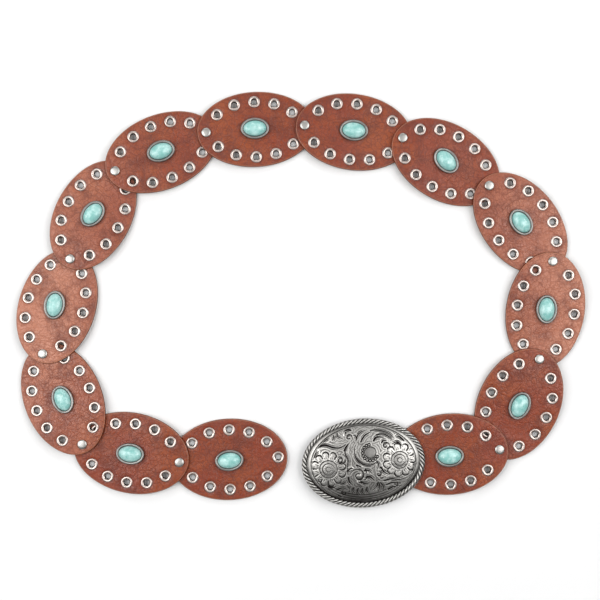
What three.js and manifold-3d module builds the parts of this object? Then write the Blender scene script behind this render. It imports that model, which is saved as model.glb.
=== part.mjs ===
// A western belt: a chain of thirteen leather ovals with turquoise settings, and a domed oval buckle.
// It lies open in a C on its back, face up. Millimetres, +Z up, +X to the right of the laid out belt.
import * as THREE from 'three';
import { mergeVertices } from 'three/addons/utils/BufferGeometryUtils.js';
import Module from 'manifold-3d';

const wasm = await Module();
wasm.setup();

// Clearance between pieces that touch
const GAP = 0.3;

// Leather ovals
const PANEL_LENGTH = 88;
const LEATHER = 2.6;
const LAP_GAP = 0.4;
const RAMP_HALF = 23;
const PANEL_SIDES = 24;

// Eyelet holes, one row each: the place from the middle of an oval of EYELET_WIDTH, repeated on its
// other sides. Across a narrower or wider oval they move in or out with its edge.
const EYELET_WIDTH = 60;
const EYELETS = [
  { along: 0, across: 22 },
  { along: 15, across: 19.9 },
  { along: 28.2, across: 12.7 },
];
const HOLE_RADIUS = 2.5;
const HOLE_SIDES = 8;

// Rivets that join the ovals
const RIVET_REACH = 37.1;
const RIVET_CAP_RADIUS = 3.5;
const RIVET_CAP_HEIGHT = 1.4;
const RIVET_BACK_RADIUS = 3.4;
const RIVET_BACK = 0.6;
const RIVET_SHANK_RADIUS = 1.5;
const RIVET_SIDES = 8;
const RIVET_HOLE_RADIUS = 2.1;
const RIVET_HOLE_SIDES = 6;

// Heights that follow from the leather: the underside of a lower end, and what the next oval climbs
const LOW = RIVET_BACK + GAP;
const RISE = LEATHER + LAP_GAP;

// Stone settings
const BEZEL_LENGTH = 21.8;
const BEZEL_WIDTH = 15.8;
const BEZEL_HEIGHT = 2.4;
const BEZEL_FLOOR = 0.6;
const BEZEL_INNER = 0.86;
const TANG = { along: 5, across: 1.6 };
const STONE_LENGTH = 18;
const STONE_WIDTH = 12.9;
const STONE_HEIGHT = 4.8;
const STONE_WALL = 1.4;
const STONE_SHOULDER = { share: 0.68, drop: 0.9 };
const SETTING_SIDES = 12;

// Buckle
const BUCKLE_LENGTH = 93;
const BUCKLE_WIDTH = 67;
const BUCKLE_TURN = 4.3;
const BUCKLE_POST = { along: 28.4, across: 0.5 };
const BUCKLE_LIFT = 0.9;
const BUCKLE_SIDES = 28;
const ROPE_SHARE = 0.09;
const ROPE_HEIGHT = 3.4;
const BACK_SHARE = 0.86;
const BEVEL_HEIGHT = 2.4;
const CROWN_HEIGHT = 7.2;
const DOME_FALL = 2.2;
const DOME_BANDS = [1 - ROPE_SHARE, 0.62, 0.3, 0];
const CASTING = 2.4;
const RELIEF = 0.5;
const BOSS_RADIUS = 5;
const SOCKET_DEPTH = 2.4;

// The hook behind the buckle: a stem, and a toe at its foot that points at the free end
const HOOK_ALONG = -32;
const HOOK_THICK = 3.4;
const HOOK_TOE = { reach: 3, height: 1.3 };

// One row for each oval from the free tip to the buckle. heading is the way its upper end points,
// in degrees from +X, as the belt lies. The ovals are cut by hand, so each has a width of its own.
const OVALS = [
  { oval: '01', heading: 2.7, width: 61.3 },
  { oval: '02', heading: -10.5, width: 60.6 },
  { oval: '03', heading: -66.4, width: 58.8 },
  { oval: '04', heading: -106.1, width: 58.0 },
  { oval: '05', heading: -117.1, width: 57.5 },
  { oval: '06', heading: -157.1, width: 56.4 },
  { oval: '07', heading: -175.8, width: 56.5 },
  { oval: '08', heading: -187.3, width: 57.4 },
  { oval: '09', heading: -208.9, width: 57.8 },
  { oval: '10', heading: -230.0, width: 57.9 },
  { oval: '11', heading: -277.8, width: 59.2 },
  { oval: '12', heading: -293.8, width: 61.7 },
  { oval: '13', heading: -354.2, width: 61.1 },
];

// How far each oval's setting sits from its middle, and its turn in degrees. Set by hand too.
const SETTINGS = [
  { oval: '01', along: 0.3, across: -0.5, turn: 3 },
  { oval: '02', along: -0.4, across: -0.5, turn: 4 },
  { oval: '03', along: 0.4, across: -0.1, turn: -2 },
  { oval: '04', along: -0.5, across: -1.7, turn: 8 },
  { oval: '05', along: -0.7, across: -0.4, turn: -11 },
  { oval: '06', along: -0.2, across: -0.4, turn: -3 },
  { oval: '07', along: 0.5, across: -0.5, turn: -2 },
  { oval: '08', along: 0.1, across: -1.0, turn: 3 },
  { oval: '09', along: 0.3, across: -0.8, turn: -17 },
  { oval: '10', along: 0.7, across: -0.7, turn: -3 },
  { oval: '11', along: 0.8, across: -0.4, turn: 8 },
  { oval: '12', along: -0.8, across: -0.7, turn: 0 },
  { oval: '13', along: -0.5, across: -1.3, turn: -2 },
];

// How far each oval's ten eyelet holes are from their places, all together, and their turn in degrees
const PUNCHED = [
  { oval: '01', along: 0.4, across: -0.2, turn: -1.7 },
  { oval: '02', along: -0.1, across: -0.1, turn: 1.9 },
  { oval: '03', along: 0.3, across: 0, turn: -0.4 },
  { oval: '04', along: -0.5, across: -1.2, turn: 0.6 },
  { oval: '05', along: -0.4, across: -0.1, turn: -0.9 },
  { oval: '06', along: -0.3, across: 0.1, turn: 0.1 },
  { oval: '07', along: 0.3, across: 0.1, turn: -1.8 },
  { oval: '08', along: 0.3, across: -0.1, turn: -0.4 },
  { oval: '09', along: 0.3, across: -0.1, turn: 0.9 },
  { oval: '10', along: 0.5, across: -0.6, turn: -1.1 },
  { oval: '11', along: 0.3, across: -0.2, turn: -1.2 },
  { oval: '12', along: -0.7, across: -0.4, turn: -0.6 },
  { oval: '13', along: -0.8, across: -0.5, turn: -2.2 },
];

// Raised flowers on the buckle, one row each: the centre from the buckle's middle, the number of
// petals, how far they reach and the radius of the boss
const FLOWERS = [
  { along: -26.6, across: -2.4, petals: 8, reach: 12.6, boss: 6.2 },
  { along: 27, across: 0.7, petals: 8, reach: 12.6, boss: 6 },
];
const PETAL_NOTCH = 0.8;
const BOSS_SIDES = 8;
const BOSS_RISE = 1.2;
const BOSS_TOP_SHARE = 0.5;

// Raised scrolls between the flowers, one row each: the centre of the curl, its radius, its widest
// part, and the turn in degrees from its thin start to its thick end
const SCROLLS = [
  { along: 6.2, across: 7.2, radius: 6.6, width: 3.2, start: 150, end: 440 },
  { along: -3.4, across: -8.4, radius: 6.2, width: 3, start: 330, end: 60 },
];
const SCROLL_STEPS = 5;
const SCROLL_TIP = 0.2;
const SCROLL_SWELL = 1.5;

const leather = new THREE.MeshStandardMaterial({ color: 0x8f4a33, roughness: 0.62, metalness: 0 });
const silver = new THREE.MeshStandardMaterial({ color: 0xb9b8b4, roughness: 0.32, metalness: 1 });
const antique = new THREE.MeshStandardMaterial({ color: 0x8d8b87, roughness: 0.38, metalness: 1 });
const turquoise = new THREE.MeshStandardMaterial({ color: 0x86d3c8, roughness: 0.25, metalness: 0 });

const radians = THREE.MathUtils.degToRad;

// A closed solid from a geometry, and back
function solid(geometry) {
  geometry.deleteAttribute('normal');
  geometry.deleteAttribute('uv');
  const merged = mergeVertices(geometry, 1e-4);
  return new wasm.Manifold(new wasm.Mesh({
    numProp: 3,
    vertProperties: Float32Array.from(merged.attributes.position.array),
    triVerts: Uint32Array.from(merged.index.array),
  }));
}

function geometryOf(body) {
  const { vertProperties, triVerts } = body.getMesh();
  const geometry = new THREE.BufferGeometry();
  geometry.setAttribute('position', new THREE.BufferAttribute(vertProperties, 3));
  geometry.setIndex(new THREE.BufferAttribute(triVerts, 1));
  return geometry;
}

// An upright prism with an oval or round section, from one height to another
function uprightPrism(along, across, bottom, top, sides) {
  const geometry = new THREE.CylinderGeometry(1, 1, top - bottom, sides);
  geometry.rotateX(Math.PI / 2);
  geometry.scale(along, across, 1);
  geometry.translate(0, 0, (top + bottom) / 2);
  return geometry;
}

// A turned shape about the upright axis, stretched to an oval. Its profile is radius and height.
function turned(profile, along, across, sides) {
  const geometry = new THREE.LatheGeometry(profile.map(([r, z]) => new THREE.Vector2(r, z)), sides);
  geometry.rotateX(Math.PI / 2);
  geometry.scale(along, across, 1);
  return geometry;
}

function holeAt(x, y, radius, sides) {
  const reach = LEATHER + RISE + 1;
  const geometry = uprightPrism(radius, radius, -1, reach, sides);
  geometry.rotateZ(Math.PI / sides);
  geometry.translate(x, y, 0);
  return solid(geometry);
}

// A leather oval. Its lower end lies flat, it climbs over its middle, and its upper end lies flat
// on the next oval. The free end's oval has nothing under it and stays flat.
function panelGeometry(width, setting, punched, rise, upperEndHole) {
  const half = PANEL_LENGTH / 2 + 1;
  const side = new THREE.Shape([
    new THREE.Vector2(-half, 0),
    new THREE.Vector2(-RAMP_HALF, 0),
    new THREE.Vector2(RAMP_HALF, rise),
    new THREE.Vector2(half, rise),
    new THREE.Vector2(half, rise + LEATHER),
    new THREE.Vector2(RAMP_HALF, rise + LEATHER),
    new THREE.Vector2(-RAMP_HALF, LEATHER),
    new THREE.Vector2(-half, LEATHER),
  ]);
  const strip = new THREE.ExtrudeGeometry(side, { depth: width + 2, bevelEnabled: false });
  strip.translate(0, 0, -width / 2 - 1);
  strip.rotateX(Math.PI / 2);
  const outline = uprightPrism(PANEL_LENGTH / 2, width / 2, -1, rise + LEATHER + 1, PANEL_SIDES);
  let body = solid(strip).intersect(solid(outline));
  for (const { along, across } of EYELETS) {
    const ends = along === 0 ? [0] : [along, -along];
    const side = across * width / EYELET_WIDTH;
    for (const x of ends) {
      for (const y of [side, -side]) {
        const spot = new THREE.Vector2(x, y).rotateAround(new THREE.Vector2(), radians(punched.turn));
        body = body.subtract(holeAt(spot.x + punched.along, spot.y + punched.across, HOLE_RADIUS, HOLE_SIDES));
      }
    }
  }
  body = body.subtract(holeAt(-RIVET_REACH, 0, RIVET_HOLE_RADIUS, RIVET_HOLE_SIDES));
  body = body.subtract(holeAt(RIVET_REACH, 0, upperEndHole.radius, upperEndHole.sides));
  const slot = new THREE.BoxGeometry(TANG.along + 2 * GAP, TANG.across + 2 * GAP, 4 * LEATHER);
  slot.rotateZ(radians(setting.turn));
  slot.translate(setting.along, setting.across, (rise + LEATHER) / 2);
  return geometryOf(body.subtract(solid(slot)));
}

// An open oval cup, with a flat tang under it that goes through the leather
function bezelGeometry() {
  const cup = turned([
    [0, 0], [1, 0], [1, BEZEL_HEIGHT], [BEZEL_INNER, BEZEL_HEIGHT], [BEZEL_INNER, BEZEL_FLOOR], [0, BEZEL_FLOOR],
  ], BEZEL_LENGTH / 2, BEZEL_WIDTH / 2, SETTING_SIDES);
  const depth = GAP + LEATHER;
  const tang = new THREE.BoxGeometry(TANG.along, TANG.across, depth + BEZEL_FLOOR / 2);
  tang.translate(0, 0, (BEZEL_FLOOR / 2 - depth) / 2);
  return geometryOf(solid(cup).add(solid(tang)));
}

function stoneGeometry() {
  return turned([
    [0, 0], [1, 0], [1, STONE_WALL], [STONE_SHOULDER.share, STONE_HEIGHT - STONE_SHOULDER.drop], [0, STONE_HEIGHT],
  ], STONE_LENGTH / 2, STONE_WIDTH / 2, SETTING_SIDES);
}

// A rivet through two thicknesses of leather, standing on the floor
function rivetGeometry() {
  const cap = LOW + RISE + LEATHER + GAP;
  return turned([
    [0, 0], [RIVET_BACK_RADIUS, 0], [RIVET_BACK_RADIUS, RIVET_BACK], [RIVET_SHANK_RADIUS, RIVET_BACK],
    [RIVET_SHANK_RADIUS, cap], [RIVET_CAP_RADIUS, cap], [0, cap + RIVET_CAP_HEIGHT],
  ], 1, 1, RIVET_SIDES);
}

// The buckle's hidden rivet, through one thickness of leather and into the socket
function buckleRivetGeometry() {
  const top = LOW + LEATHER + SOCKET_DEPTH;
  return turned([
    [0, 0], [RIVET_BACK_RADIUS, 0], [RIVET_BACK_RADIUS, RIVET_BACK], [RIVET_SHANK_RADIUS, RIVET_BACK],
    [RIVET_SHANK_RADIUS, top], [0, top],
  ], 1, 1, RIVET_SIDES);
}

// Height of the buckle's dome above its rim. share is 0 in the middle and 1 at the buckle's edge.
function domeHeight(share) {
  const foot = 1 - ROPE_SHARE;
  return BEVEL_HEIGHT + (CROWN_HEIGHT - BEVEL_HEIGHT) * (1 - (share / foot) ** DOME_FALL);
}

// The face of the dome, from its foot to the middle, raised by a relief
function domeProfile(raised) {
  return DOME_BANDS.map((share) => [share, domeHeight(share) + raised]);
}

// A flat shape as a tall prism on the buckle, at a place in the buckle's own plane
function reliefPrism(shape, along, across) {
  const prism = new THREE.ExtrudeGeometry(shape, { depth: CROWN_HEIGHT, bevelEnabled: false });
  prism.translate(along, across, 1);
  return solid(prism);
}

// The outline of a flower: petals with round tips
function flowerShape({ petals, reach }) {
  const points = [];
  for (let i = 0; i < 2 * petals; i += 1) {
    const radius = i % 2 === 0 ? reach : reach * PETAL_NOTCH;
    const angle = Math.PI * i / petals;
    points.push(new THREE.Vector2(radius * Math.cos(angle), radius * Math.sin(angle)));
  }
  return new THREE.Shape(points);
}

// The outline of a scroll: a crescent that is widest two thirds of the way round
function scrollShape({ radius, width, start, end }) {
  const outer = [];
  const inner = [];
  for (let i = 0; i <= SCROLL_STEPS; i += 1) {
    const share = i / SCROLL_STEPS;
    const angle = radians(start + (end - start) * share);
    const half = SCROLL_TIP + width / 2 * Math.sin(Math.PI * share ** SCROLL_SWELL);
    outer.push(new THREE.Vector2((radius + half) * Math.cos(angle), (radius + half) * Math.sin(angle)));
    inner.push(new THREE.Vector2((radius - half) * Math.cos(angle), (radius - half) * Math.sin(angle)));
  }
  const points = [...outer, ...inner.reverse()];
  return new THREE.Shape(THREE.ShapeUtils.area(points) > 0 ? points : points.reverse());
}

// One casting: rope border, bevel, dome with raised flowers and scrolls, hook, and socket boss
function buckleGeometry() {
  const a = BUCKLE_LENGTH / 2;
  const b = BUCKLE_WIDTH / 2;
  const foot = 1 - ROPE_SHARE;
  const ceiling = (share) => domeHeight(share) - CASTING;
  let body = solid(turned([
    [0, ceiling(0)], [0.5, ceiling(0.5)], [BACK_SHARE, 0], [1, 0], [1, ROPE_HEIGHT / 2],
    [foot + ROPE_SHARE / 2, ROPE_HEIGHT], ...domeProfile(0),
  ], a, b, BUCKLE_SIDES));
  const raised = solid(turned([[0, 0], [foot, 0], ...domeProfile(RELIEF)], a, b, BUCKLE_SIDES));
  for (const flower of FLOWERS) {
    body = body.add(raised.intersect(reliefPrism(flowerShape(flower), flower.along, flower.across)));
    const top = domeHeight(Math.hypot(flower.along / a, flower.across / b)) + BOSS_RISE;
    const boss = new THREE.CylinderGeometry(flower.boss * BOSS_TOP_SHARE, flower.boss, top, BOSS_SIDES);
    boss.rotateX(Math.PI / 2);
    boss.translate(flower.along, flower.across, top / 2);
    body = body.add(solid(boss));
  }
  for (const scroll of SCROLLS) {
    body = body.add(raised.intersect(reliefPrism(scrollShape(scroll), scroll.along, scroll.across)));
  }
  const under = LOW + LEATHER + GAP + BUCKLE_LIFT;
  const post = uprightPrism(BOSS_RADIUS, BOSS_RADIUS, -BUCKLE_LIFT, ceiling(0.6) + CASTING / 2, RIVET_SIDES);
  post.translate(BUCKLE_POST.along, BUCKLE_POST.across, 0);
  const socketTop = SOCKET_DEPTH - BUCKLE_LIFT;
  const socket = uprightPrism(RIVET_HOLE_RADIUS, RIVET_HOLE_RADIUS, -BUCKLE_LIFT - 1, socketTop, RIVET_HOLE_SIDES);
  socket.translate(BUCKLE_POST.along, BUCKLE_POST.across, 0);
  body = body.add(solid(post)).subtract(solid(socket));
  const heel = HOOK_THICK / 2;
  const hook = new THREE.ExtrudeGeometry(new THREE.Shape([
    new THREE.Vector2(heel, -under),
    new THREE.Vector2(heel, ceiling(0.7) + CASTING / 2),
    new THREE.Vector2(-heel, ceiling(0.7) + CASTING / 2),
    new THREE.Vector2(-heel, HOOK_TOE.height - under),
    new THREE.Vector2(-heel - HOOK_TOE.reach, HOOK_TOE.height - under),
    new THREE.Vector2(-heel - HOOK_TOE.reach, -under),
  ]), { depth: HOOK_THICK, bevelEnabled: false });
  hook.translate(0, 0, -heel);
  hook.rotateX(Math.PI / 2);
  hook.translate(HOOK_ALONG, 0, 0);
  return geometryOf(body.add(solid(hook)));
}

const belt = new THREE.Group();

function addMesh(name, geometry, material, parent) {
  const mesh = new THREE.Mesh(geometry, material);
  mesh.name = name;
  parent.add(mesh);
  return mesh;
}

const rivetHole = { radius: RIVET_HOLE_RADIUS, sides: RIVET_HOLE_SIDES };
const eyeletHole = { radius: HOLE_RADIUS, sides: HOLE_SIDES };
const shapes = {
  bezel: bezelGeometry(),
  stone: stoneGeometry(),
  rivet: rivetGeometry(),
};

const joint = new THREE.Vector2();
OVALS.forEach(({ oval, heading, width }, i) => {
  const free = oval === '01';
  const climb = free ? 0 : RISE;
  const along = new THREE.Vector2(Math.cos(radians(heading)), Math.sin(radians(heading)));
  if (!free) {
    const rivet = addMesh('rivet_' + String(oval - 1).padStart(2, '0'), shapes.rivet, silver, belt);
    rivet.position.set(joint.x, joint.y, 0);
  }
  joint.addScaledVector(along, -RIVET_REACH);
  const place = new THREE.Group();
  place.position.set(joint.x, joint.y, LOW);
  place.rotation.z = radians(heading);
  belt.add(place);
  const end = free ? eyeletHole : rivetHole;
  addMesh('panel_' + oval, panelGeometry(width, SETTINGS[i], PUNCHED[i], climb, end), leather, place);
  const slope = climb / (2 * RAMP_HALF);
  const setting = new THREE.Group();
  setting.position.set(
    SETTINGS[i].along,
    SETTINGS[i].across,
    climb / 2 + SETTINGS[i].along * slope + LEATHER + GAP,
  );
  setting.rotation.y = -Math.atan(slope);
  setting.rotation.z = radians(SETTINGS[i].turn);
  place.add(setting);
  addMesh('bezel_' + oval, shapes.bezel, antique, setting);
  addMesh('stone_' + oval, shapes.stone, turquoise, setting).position.z = BEZEL_FLOOR + GAP;
  joint.addScaledVector(along, -RIVET_REACH);
});

addMesh('buckle_rivet', buckleRivetGeometry(), silver, belt).position.set(joint.x, joint.y, 0);
const buckle = addMesh('buckle', buckleGeometry(), antique, belt);
const turn = radians(BUCKLE_TURN);
buckle.position.set(
  joint.x - BUCKLE_POST.along * Math.cos(turn) + BUCKLE_POST.across * Math.sin(turn),
  joint.y - BUCKLE_POST.along * Math.sin(turn) - BUCKLE_POST.across * Math.cos(turn),
  LOW + LEATHER + GAP + BUCKLE_LIFT,
);
buckle.rotation.z = turn;

// The origin is under the middle of the whole belt, on the surface that it lies on
const part = new THREE.Group();
part.add(belt);
belt.updateMatrixWorld(true);
const box = new THREE.Box3().setFromObject(belt, true);
belt.position.set(-(box.min.x + box.max.x) / 2, -(box.min.y + box.max.y) / 2, -box.min.z);

export default part;
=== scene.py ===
"""The looks of a western belt: leather ovals, eyelets, turquoise settings, rivets and an engraved buckle.

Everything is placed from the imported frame. Shapes are worked out in millimetres and stored in metres.
"""

import math

import bpy
import numpy as np
from mathutils import Matrix, Vector
from mathutils.kdtree import KDTree


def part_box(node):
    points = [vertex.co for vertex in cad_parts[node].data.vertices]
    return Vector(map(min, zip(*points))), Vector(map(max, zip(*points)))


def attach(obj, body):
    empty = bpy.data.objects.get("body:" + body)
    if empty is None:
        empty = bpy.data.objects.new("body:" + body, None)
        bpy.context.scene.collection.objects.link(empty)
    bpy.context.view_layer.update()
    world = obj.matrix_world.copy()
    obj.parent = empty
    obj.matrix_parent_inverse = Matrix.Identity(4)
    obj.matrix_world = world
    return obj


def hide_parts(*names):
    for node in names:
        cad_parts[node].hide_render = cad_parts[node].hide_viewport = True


bl_info = {
    "name": "Western belt",
    "version": (1, 0, 0),
    "blender": (4, 5, 0),
    "location": "3D View > Sidebar > Belt",
    "description": "Dresses the packed frame of a riveted leather belt",
    "category": "Object",
}

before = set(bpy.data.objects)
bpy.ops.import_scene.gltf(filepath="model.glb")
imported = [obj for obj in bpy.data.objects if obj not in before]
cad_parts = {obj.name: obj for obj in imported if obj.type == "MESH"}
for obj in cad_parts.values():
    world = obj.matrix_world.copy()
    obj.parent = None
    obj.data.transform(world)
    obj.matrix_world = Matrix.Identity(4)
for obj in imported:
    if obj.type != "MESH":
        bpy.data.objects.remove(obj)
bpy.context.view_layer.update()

MM = 0.001
BODY = "root"
PANELS = 13


# Places read from the frame, in millimetres

def middle(node):
    """The middle of a node's box."""
    low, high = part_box(node)
    return np.array((low + high) / 2) / MM


def corners(node):
    """The lowest and highest corners of a node's box."""
    low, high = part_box(node)
    return np.array(low) / MM, np.array(high) / MM


def numbered(kind, number):
    return f"{kind}_{number:02d}"


# Where each oval is riveted onto the next one, from the free end to the buckle
LOWER_JOINTS = [middle(numbered("rivet", n))[:2] for n in range(1, PANELS)] + [middle("buckle_rivet")[:2]]
TIP_LOW, TIP_HIGH = corners("panel_01")
# Thickness of the leather, height of its underside, half an oval's length, its climb and its rivets' reach
LEATHER = TIP_HIGH[2] - TIP_LOW[2]
LOW = TIP_LOW[2]
HALF_LENGTH = 44
RISE = corners("panel_02")[1][2] - TIP_HIGH[2]
RIVET_REACH = np.linalg.norm(LOWER_JOINTS[0] - LOWER_JOINTS[1]) / 2
# Half the length of an oval's climb, the room between pieces, and half the length and width of a setting
RAMP_HALF = 23
GAP = 0.3
BEZEL_HALF = (10.8, 7.95)
# Over how many millimetres to the side the painted sheen doubles
PAINTED_SHEEN_REACH = 60
# Where each oval's setting sits from its middle, and its turn in degrees, from the free end to the buckle
SETTINGS = (
    (0.3, -0.5, 3), (-0.4, -0.5, 4), (0.4, -0.1, -2), (-0.5, -1.7, 8), (-0.7, -0.4, -11), (-0.2, -0.4, -3),
    (0.5, -0.5, -2), (0.1, -1.0, 3), (0.3, -0.8, -17), (0.7, -0.7, -3), (0.8, -0.4, 8), (-0.8, -0.7, 0),
    (-0.5, -1.3, -2),
)
# How far each oval's eyelets are from their places, all together, and their turn in degrees
PUNCHED = (
    (0.4, -0.2, -1.7), (-0.1, -0.1, 1.9), (0.3, 0.0, -0.4), (-0.5, -1.2, 0.6), (-0.4, -0.1, -0.9),
    (-0.3, 0.1, 0.1), (0.3, 0.1, -1.8), (0.3, -0.1, -0.4), (0.3, -0.1, 0.9), (0.5, -0.6, -1.1),
    (0.3, -0.2, -1.2), (-0.7, -0.4, -0.6), (-0.8, -0.5, -2.2),
)


class Place:
    """Where a leather oval lies: its own x runs towards its upper end and z is up from its underside."""

    def __init__(self, number):
        lower = LOWER_JOINTS[number - 1]
        upper = LOWER_JOINTS[number - 2] if number > 1 else 2 * middle("panel_01")[:2] - lower
        self.number = number
        self.centre = (lower + upper) / 2
        self.along = (upper - lower) / np.linalg.norm(upper - lower)
        self.across = np.array((-self.along[1], self.along[0]))
        self.heading = math.atan2(self.along[1], self.along[0])
        self.rise = RISE if number > 1 else 0
        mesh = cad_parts[numbered("panel", number)].data
        outline = np.array([vertex.co[:2] for vertex in mesh.vertices]) / MM
        self.half_width = np.abs((outline - self.centre) @ self.across).max()
        self.setting = SETTINGS[number - 1]

    def climb(self, x):
        """The height that the oval has climbed at x, in a soft S from its lower end to its upper end."""
        share = np.clip((np.asarray(x, float) + RAMP_HALF) / (2 * RAMP_HALF), 0, 1)
        return self.rise * (0.5 * share + 0.5 * share * share * (3 - 2 * share))

    def tilt(self):
        return -math.atan(self.rise / (2 * RAMP_HALF))

    def past_setting(self, x, y):
        """How far a point of the oval is outside its stone's setting."""
        along, across, turn = self.setting
        cos, sin = math.cos(math.radians(turn)), math.sin(math.radians(turn))
        aside, ahead = y - across, x - along
        length, width = BEZEL_HALF
        share = np.hypot((ahead * cos + aside * sin) / length, (aside * cos - ahead * sin) / width)
        return np.hypot(ahead, aside) * (1 - 1 / np.maximum(share, 0.01))

    def seat(self, height):
        """Place and turn of something that stands at a height over the leather under the setting."""
        along, across, turn = self.setting
        lean = self.tilt()
        top = self.rise / 2 + along * self.rise / (2 * RAMP_HALF) + LEATHER + GAP
        spot = self.put([(along + math.sin(lean) * height, across, top + math.cos(lean) * height)])
        level = Matrix.Rotation(math.radians(turn), 3, "Z")
        turned_to = Matrix.Rotation(self.heading, 3, "Z") @ Matrix.Rotation(lean, 3, "Y") @ level
        return spot, [tuple(turned_to.to_euler("XYZ"))]

    def fade(self, x, y):
        """How much painted sheen a point gets: more on the side away from the middle of the belt."""
        side = self.put(np.column_stack((x, y, np.zeros(len(x)))))[:, 0]
        outward = (np.abs(side) - abs(self.centre[0])) / PAINTED_SHEEN_REACH
        return PAINTED_SHEEN[self.number - 1] * np.clip(1 + outward, 0.4, 1.5)

    def put(self, points):
        """Points of the oval's own frame, in the frame of the belt."""
        points = np.asarray(points, float)
        flat = self.centre + points[:, :1] * self.along + points[:, 1:2] * self.across
        return np.column_stack((flat, points[:, 2] + LOW))


PLACES = [Place(n) for n in range(1, PANELS + 1)]


# Sizes and colours that a user would change

class LeatherSettings(bpy.types.PropertyGroup):
    edge_round: bpy.props.FloatProperty(
        name="Edge rounding", description="Radius of the burnished upper edge",
        default=0.9 * MM, unit="LENGTH")
    dimple: bpy.props.FloatProperty(
        name="Eyelet dimple", description="How far a set eyelet presses the leather down",
        default=0.35 * MM, unit="LENGTH")
    colour: bpy.props.FloatVectorProperty(
        name="Leather", description="Main colour of the grain side",
        default=(0.228, 0.0315, 0.0062), subtype="COLOR")
    # Also the colour of the painted shade in creases and wrinkles and round eyelets and settings
    dark: bpy.props.FloatVectorProperty(
        name="Dark patches", description="Colour of the deeper dyed patches",
        default=(0.108, 0.0165, 0.0065), subtype="COLOR")
    # The colour of the painted sheen laid over the ovals at the sides
    painted_sheen_colour: bpy.props.FloatVectorProperty(
        name="Faded", description="Colour of the ovals that the sun has paled",
        default=(0.47, 0.182, 0.108), subtype="COLOR")
    warm: bpy.props.FloatVectorProperty(
        name="Warm patches", description="Colour of the orange brown patches",
        default=(0.300, 0.064, 0.013), subtype="COLOR")


class MetalSettings(bpy.types.PropertyGroup):
    eyelet_radius: bpy.props.FloatProperty(
        name="Eyelet radius", description="Outer radius of an eyelet's rolled ring",
        default=4.5 * MM, unit="LENGTH")
    eyelet_hole: bpy.props.FloatProperty(
        name="Eyelet hole", description="Radius of the hole through an eyelet",
        default=2.2 * MM, unit="LENGTH")
    rope_turns: bpy.props.IntProperty(
        name="Rope turns", description="Full turns of the rope round the buckle", default=18)
    bright: bpy.props.FloatVectorProperty(
        name="Bright silver", description="Colour of eyelets and rivets",
        default=(0.54, 0.455, 0.415), subtype="COLOR")
    antique: bpy.props.FloatVectorProperty(
        name="Antique silver", description="Colour of the buckle and settings",
        default=(0.430, 0.420, 0.400), subtype="COLOR")


class StoneSettings(bpy.types.PropertyGroup):
    colour: bpy.props.FloatVectorProperty(
        name="Turquoise", description="Main colour of the stones",
        default=(0.225, 0.50, 0.465), subtype="COLOR")
    pale: bpy.props.FloatVectorProperty(
        name="Pale veins", description="Colour of the paler marbling",
        default=(0.42, 0.68, 0.65), subtype="COLOR")


# Nodes of materials and of geometry

class Value:
    """A node's socket that takes part in Python's arithmetic."""

    def __init__(self, nodes, socket):
        self.nodes = nodes
        self.socket = socket

    def maths(self, operation, *values):
        return self.nodes.node("ShaderNodeMath", {"operation": operation}, dict(enumerate(values)))

    def __add__(self, other):
        return self.maths("ADD", self, other)

    def __radd__(self, other):
        return self.maths("ADD", other, self)

    def __sub__(self, other):
        return self.maths("SUBTRACT", self, other)

    def __rsub__(self, other):
        return self.maths("SUBTRACT", other, self)

    def __mul__(self, other):
        return self.maths("MULTIPLY", self, other)

    def __rmul__(self, other):
        return self.maths("MULTIPLY", other, self)

    def __pow__(self, other):
        return self.maths("POWER", self, other)

    def ramp(self, low, high):
        """0 below low and 1 above high, smooth between."""
        inputs = {"Value": self, "From Min": low, "From Max": high}
        return self.nodes.node("ShaderNodeMapRange", {"interpolation_type": "SMOOTHSTEP"}, inputs)


class Nodes:
    """The nodes of one tree."""

    def node(self, kind, settings=None, inputs=None, out=0):
        """A node of a kind, with its settings, then its inputs, as one of its outputs."""
        node = self.tree.nodes.new(kind)
        for name, value in (settings or {}).items():
            setattr(node, name, value)
        for name, value in (inputs or {}).items():
            self.join(value, node.inputs[name])
        return Value(self, node.outputs[out])

    def join(self, value, socket):
        """Links a value to a socket, or sets the socket to a plain value."""
        if isinstance(value, Value):
            self.tree.links.new(value.socket, socket)
        else:
            socket.default_value = value

    def vector(self, x, y, z):
        return self.node("ShaderNodeCombineXYZ", None, {0: x, 1: y, 2: z})

    def scaled(self, vector, share):
        return self.node("ShaderNodeVectorMath", {"operation": "SCALE"}, {0: vector, "Scale": share})


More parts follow.
